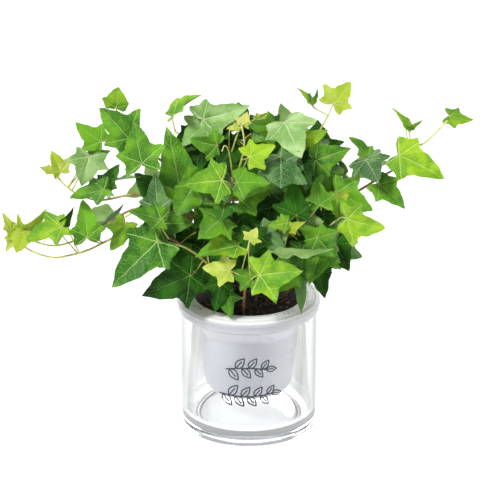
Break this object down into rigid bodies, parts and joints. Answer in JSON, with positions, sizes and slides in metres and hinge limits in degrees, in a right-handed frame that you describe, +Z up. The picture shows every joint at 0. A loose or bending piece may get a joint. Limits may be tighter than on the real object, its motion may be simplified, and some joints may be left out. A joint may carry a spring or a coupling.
{
  "type": "potted ivy",
  "caption": "Trailing ivy planted in a white plastic cup that hangs by its flange in a clear glass cylinder, with vines arching out to both sides.",
  "frame": {"origin": "centre of the glass cylinder's underside, which rests on the table", "axes": "+Z up, -Y towards the front, +X to the right when seen from the front; the vines reach out mostly along X"},
  "size_m": [0.3186, 0.1431, 0.2647],
  "materials": {
    "glass": "clear, polished",
    "cup_plastic": "semi-gloss, slightly translucent white",
    "soil": "loose dark peat, matt",
    "stem": "smooth red-brown to yellow-green stem",
    "young_leaf": "soft satin, pale yellow-green",
    "bright_leaf": "satin, bright green with pale veins",
    "mid_leaf": "satin, mid green with pale veins",
    "grey_leaf": "satin, grey-green with pale veins",
    "deep_leaf": "waxy, dark green with pale veins"
  },
  "bodies": {
    "root": {"glass_cylinder": "glass", "planting_cup": "cup_plastic", "potting_soil": "soil", "vine_left_low": "stem", "vine_left_middle": "stem", "vine_left_high": "stem", "vine_upper_left": "stem", "vine_wing": "stem", "vine_centre": "stem", "vine_top_right": "stem", "vine_right": "stem", "vine_right_low": "stem", "vine_front": "stem", "vine_front_left": "stem", "vine_back_left": "stem", "vine_back_right": "stem", "leaf_lower_left": "mid_leaf", "leaf_rim_left": "deep_leaf", "leaf_star": "bright_leaf", "leaf_rim_centre": "deep_leaf", "leaf_low_fold": "mid_leaf", "leaf_grey_star": "grey_leaf", "leaf_right_middle": "mid_leaf", "leaf_pale_star": "young_leaf", "leaf_left_long": "bright_leaf", "leaf_textured": "mid_leaf", "leaf_arrow": "mid_leaf", "leaf_centre_bright": "bright_leaf", "leaf_centre_round": "mid_leaf", "leaf_dark_point": "grey_leaf", "leaf_left_curl": "mid_leaf", "leaf_upper_face": "mid_leaf", "leaf_upper_dark": "mid_leaf", "leaf_tall_left": "mid_leaf", "leaf_wing": "bright_leaf", "leaf_top_grey": "grey_leaf", "leaf_top_pale": "bright_leaf", "leaf_crown": "young_leaf", "leaf_centre_dark": "deep_leaf", "leaf_right_point": "mid_leaf", "leaf_flag": "mid_leaf", "leaf_right_bright": "bright_leaf", "leaf_mid_bright": "mid_leaf", "leaf_top_star": "young_leaf", "leaf_runner_wide": "deep_leaf", "leaf_runner_green": "mid_leaf", "leaf_runner_bright": "bright_leaf", "leaf_left_grey": "grey_leaf", "leaf_left_folded": "mid_leaf", "leaf_left_drop": "mid_leaf", "leaf_left_pale": "bright_leaf", "leaf_left_low": "bright_leaf", "leaf_left_tip": "young_leaf", "leaf_back_low": "mid_leaf", "leaf_back_left": "mid_leaf", "leaf_back_far": "bright_leaf", "leaf_back_centre": "deep_leaf", "leaf_back_right": "mid_leaf", "leaf_back_top": "mid_leaf", "leaf_back_tip": "bright_leaf"}
  },
  "joints": []
}
